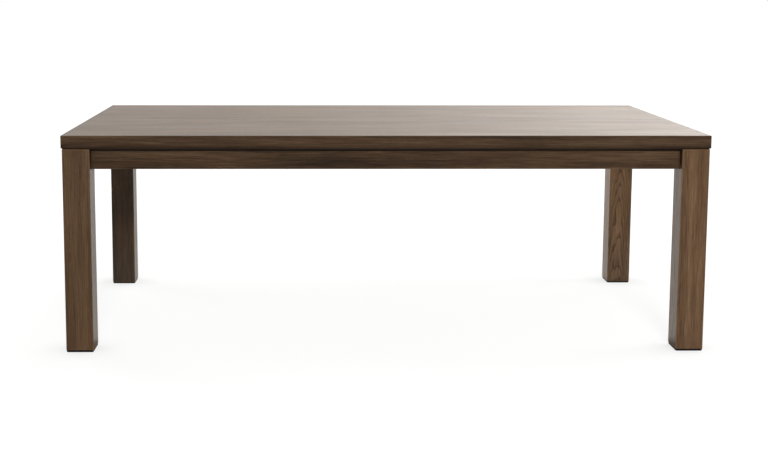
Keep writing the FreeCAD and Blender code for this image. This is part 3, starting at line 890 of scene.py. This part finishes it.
def plate_screw_places():
    """Two screws in each flange of each corner plate."""
    places = []
    for side in SIDES:
        low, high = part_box(f"apron_{side}")
        half = (high - low) / 2
        inwards = Vector(INWARDS[side])
        along = Vector((abs(inwards.y), abs(inwards.x), 0))
        seat = (low + high) / 2 + inwards * (abs(half.dot(inwards)) + PLATE_THICKNESS)
        reach = half.dot(along) - FLANGE_MIDDLE
        for end in (-1, 1):
            for step in (-0.5, 0.5):
                rise = Vector((0, 0, step * BOLT_SPACING))
                places.append((seat + along * end * reach + rise, inwards))
    return places


def clip_screw_places():
    """One screw up through the foot of each top clip."""
    down = Vector((0, 0, -1))
    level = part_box("top_clips")[1].z - CLIP_THICKNESS
    rails = [middle_of(f"cross_rail_{hand}").x for hand in HANDS]
    beside_rails = [rail + step * CLIP_SPREAD for rail in rails for step in (-1, 1)]
    side_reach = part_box("apron_back")[0].y - CLIP_SCREW_INSET
    end_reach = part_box("apron_right")[0].x - CLIP_SCREW_INSET
    places = []
    for way in (-1, 1):
        spots = [(x, way * side_reach) for x in beside_rails]
        spots += [(way * end_reach, step * CLIP_SPREAD) for step in (-1, 1)]
        places += [(Vector((x, y, level)), down) for x, y in spots]
    return places


def fix_together(zinc):
    screw_head = make_screw_head()
    nut = make_nut()
    fasteners = fastener_maker()
    for name, places, pattern, seed, stands_for in (
        ("corner_plate_screws", plate_screw_places(), screw_head, PLATE_SCREW_SEED, None),
        ("clip_screws", clip_screw_places(), screw_head, CLIP_SCREW_SEED, None),
        ("chamfered_nuts", bolt_places(NUT_SEAT), nut, NUT_SEED, "bolt_nuts"),
    ):
        settle(name, places, fasteners, stands_for, Fastener=pattern, Seed=seed, Finish=zinc)
    thread = {
        "Radius": BOLT_RADIUS,
        "Length": BOLT_END - BOLT_START,
        "Pitch": THREAD_PITCH,
        "Depth": THREAD_DEPTH,
    }
    middles = bolt_places((BOLT_START + BOLT_END) / 2)
    settle("threaded_bolts", middles, thread_maker(), "hanger_bolts", **thread, Seed=BOLT_SEED, Finish=zinc)
    for pattern in (screw_head, nut):
        bpy.data.objects.remove(pattern)


# The studio

WHITE = (1, 1, 1, 1)
WARM_WHITE = (1, 0.965, 0.915, 1)

# The room: white to the camera, dim and warm to the table, with a glow at one side
WORLD_LEVEL = 0.15
GLOW_LEVEL = 3.3
GLOW_ANGLE = math.radians(42)
GLOW_TOWARDS = Euler((math.radians(12), 0, math.radians(-38)))

# Gloss mirrors a dim room in front and white behind. The change lies between these places along Y, for the
# world as a direction, for the floor in metres.
ROOM_LEVEL = 0.1
WORLD_SWEEP = (-0.6, 0)
FLOOR_SWEEP = (-0.45, -0.36)

# The floor: its glow near the table and far from it, and the shade close to the feet
FLOOR_SEEN = (0.9, 0.9, 0.9, 1)
FLOOR_BOUNCE = (0.2, 0.2, 0.2, 1)
FLOOR_GLOW = 0.75
FLOOR_GLOW_NEAR = 1.12
FLOOR_GLOW_FAR = 1.3
FLOOR_FADE = (1, 2.8)
FLOOR_REACH = 40
FLOOR_DROP = 0.2 * MM
CONTACT_REACH = 0.12
CONTACT_SHADE = 0.27
CONTACT_SAMPLES = 4

# Each lamp's place, what it points at, its width, height and power, whether gloss mirrors it, and how many
# degrees it spreads
Softbox = namedtuple("Softbox", "name place aim width height power mirrored spread", defaults=(True, 180))
NARROW = {"mirrored": False, "spread": 9}
SOFTBOXES = (
    Softbox("front_softbox", (0.6, -11.7, 4.9), (0.1, 0, 0.5), 2.9, 0.96, 1190, mirrored=False),
    Softbox("overhead_softbox", (0.3, 0.4, 3.2), (0, 0, 0.7), 3.0, 1.6, 30),
    Softbox("low_left_beam", (0.9, -3.6, 0.15), (-1.06, 0.46, 0.48), 0.25, 0.25, 0.28, **NARROW),
    Softbox("low_right_beam", (-0.9, -3.6, 0.15), (1.06, 0.46, 0.48), 0.25, 0.25, 0.5, **NARROW),
    Softbox("right_end_softbox", (4.6, 0.6, 1.5), (1.1, 0, 0.5), 1.8, 0.8, 75, mirrored=False),
    Softbox("left_back_softbox", (-4.2, 2.6, 0.75), (0.2, 0, 0.35), 2.0, 1.0, 110),
)


def seen_share(recipe, backwards, sweep):
    """How white the studio looks: one to the camera, nought to light, and in gloss dimmer in front."""
    rays = recipe.add("ShaderNodeLightPath").node.outputs
    mirrored = recipe.math("MAXIMUM", rays["Is Glossy Ray"], rays["Is Transmission Ray"])
    white_sweep = recipe.fade(backwards, *sweep, ROOM_LEVEL, 1)
    return recipe.math("MAXIMUM", rays["Is Camera Ray"], recipe.times(mirrored, white_sweep))


def make_world():
    world = bpy.data.worlds.new("white_studio")
    bpy.context.scene.world = world
    world.use_nodes = True
    world.node_tree.nodes.clear()
    recipe = Recipe(world.node_tree)
    from_camera = recipe.add("ShaderNodeLightPath", output="Is Camera Ray")
    towards = recipe.add("ShaderNodeTexCoord", output="Generated")
    seen = seen_share(recipe, recipe.parts(towards)["Y"], WORLD_SWEEP)
    level = recipe.math("MULTIPLY_ADD", seen, 1 - WORLD_LEVEL, WORLD_LEVEL)
    glow_middle = Vector((0, 1, 0))
    glow_middle.rotate(GLOW_TOWARDS)
    dot = {0: towards, 1: glow_middle}
    nearness = recipe.add("ShaderNodeVectorMath", dot, "Value", operation="DOT_PRODUCT")
    glow = recipe.fade(recipe.math("ARCCOSINE", nearness), GLOW_ANGLE, 0, 0, GLOW_LEVEL)
    level = recipe.math("MULTIPLY_ADD", glow, recipe.math("SUBTRACT", 1, from_camera), level)
    colour = recipe.mix(from_camera, WARM_WHITE, WHITE)
    light = recipe.add("ShaderNodeBackground", {"Color": colour, "Strength": level})
    recipe.add("ShaderNodeOutputWorld", {"Surface": light})


def white_floor():
    """Pale paper that glows white to the camera and keeps the table's shadow."""
    material, recipe = new_material("white_floor")
    place = recipe.place()
    seen = seen_share(recipe, recipe.parts(place)["Y"], FLOOR_SWEEP)
    paper = recipe.add("ShaderNodeBsdfDiffuse", {"Color": recipe.mix(seen, FLOOR_BOUNCE, FLOOR_SEEN)})
    level = recipe.fade(recipe.length(place), *FLOOR_FADE, FLOOR_GLOW_NEAR, FLOOR_GLOW_FAR)
    reach = {"Distance": CONTACT_REACH}
    clear = recipe.add("ShaderNodeAmbientOcclusion", reach, output="AO", samples=CONTACT_SAMPLES)
    level = recipe.times(level, recipe.math("MULTIPLY_ADD", clear, CONTACT_SHADE, 1 - CONTACT_SHADE))
    colour = recipe.mix(recipe.add("ShaderNodeLightPath", output="Is Camera Ray"), WARM_WHITE, WHITE)
    glow = recipe.add("ShaderNodeEmission", {"Color": colour, "Strength": level})
    surface = recipe.add("ShaderNodeMixShader", {0: recipe.times(seen, FLOOR_GLOW), 1: paper, 2: glow})
    recipe.add("ShaderNodeOutputMaterial", {"Surface": surface})
    return material


def make_floor():
    corners = [(-1, -1), (1, -1), (1, 1), (-1, 1)]
    mesh = bpy.data.meshes.new("studio_floor")
    places = [(x * FLOOR_REACH, y * FLOOR_REACH, -FLOOR_DROP) for x, y in corners]
    mesh.from_pydata(places, [], [range(len(places))])
    mesh.materials.append(white_floor())
    floor = bpy.data.objects.new("studio_floor", mesh)
    put_in_scene(floor)


def hang_softbox(softbox):
    lamp = bpy.data.lights.new(softbox.name, "AREA")
    lamp.shape = "RECTANGLE"
    lamp.size = softbox.width
    lamp.size_y = softbox.height
    lamp.energy = softbox.power
    lamp.spread = math.radians(softbox.spread)
    box = bpy.data.objects.new(softbox.name, lamp)
    box.location = softbox.place
    box.rotation_euler = (Vector(softbox.aim) - Vector(softbox.place)).to_track_quat("-Z", "Y").to_euler()
    box.visible_camera = False
    box.visible_glossy = softbox.mirrored
    put_in_scene(box)


def make_light():
    for softbox in SOFTBOXES:
        hang_softbox(softbox)


# The camera that fits the photograph's frame, in pixels, metres and degrees

PHOTO_WIDTH = 768
PHOTO_HEIGHT = 461
LENS_AXIS_PIXEL = (330, 138)
FOCAL_PIXELS = 1235
SENSOR_WIDTH_MM = 36
CAMERA_PLACE = (-0.257, -4.759, 1.261)
CAMERA_YAW = math.radians(-0.83)
CAMERA_LOOKS_DOWN = math.radians(6.88)
CAMERA_ROLL = math.radians(0.10)


def make_camera():
    camera = bpy.data.cameras.new("photo_camera")
    camera.sensor_width = SENSOR_WIDTH_MM
    camera.lens = FOCAL_PIXELS / PHOTO_WIDTH * SENSOR_WIDTH_MM
    camera.shift_x = (PHOTO_WIDTH / 2 - LENS_AXIS_PIXEL[0]) / PHOTO_WIDTH
    camera.shift_y = (LENS_AXIS_PIXEL[1] - PHOTO_HEIGHT / 2) / PHOTO_WIDTH
    stand = bpy.data.objects.new("photo_camera", camera)
    yaw = Matrix.Rotation(CAMERA_YAW, 4, "Z")
    tilt = Matrix.Rotation(math.pi / 2 - CAMERA_LOOKS_DOWN, 4, "X")
    roll = Matrix.Rotation(CAMERA_ROLL, 4, "Z")
    stand.matrix_world = Matrix.Translation(CAMERA_PLACE) @ yaw @ tilt @ roll
    put_in_scene(stand)
    bpy.context.scene.camera = stand


zinc = bright_zinc()
dress_oak()
dress_hidden_frame()
dress_metal(zinc)
mould_pads()
fix_together(zinc)
make_world()
make_floor()
make_light()
make_camera()
bpy.context.scene.view_settings.view_transform = "Standard"
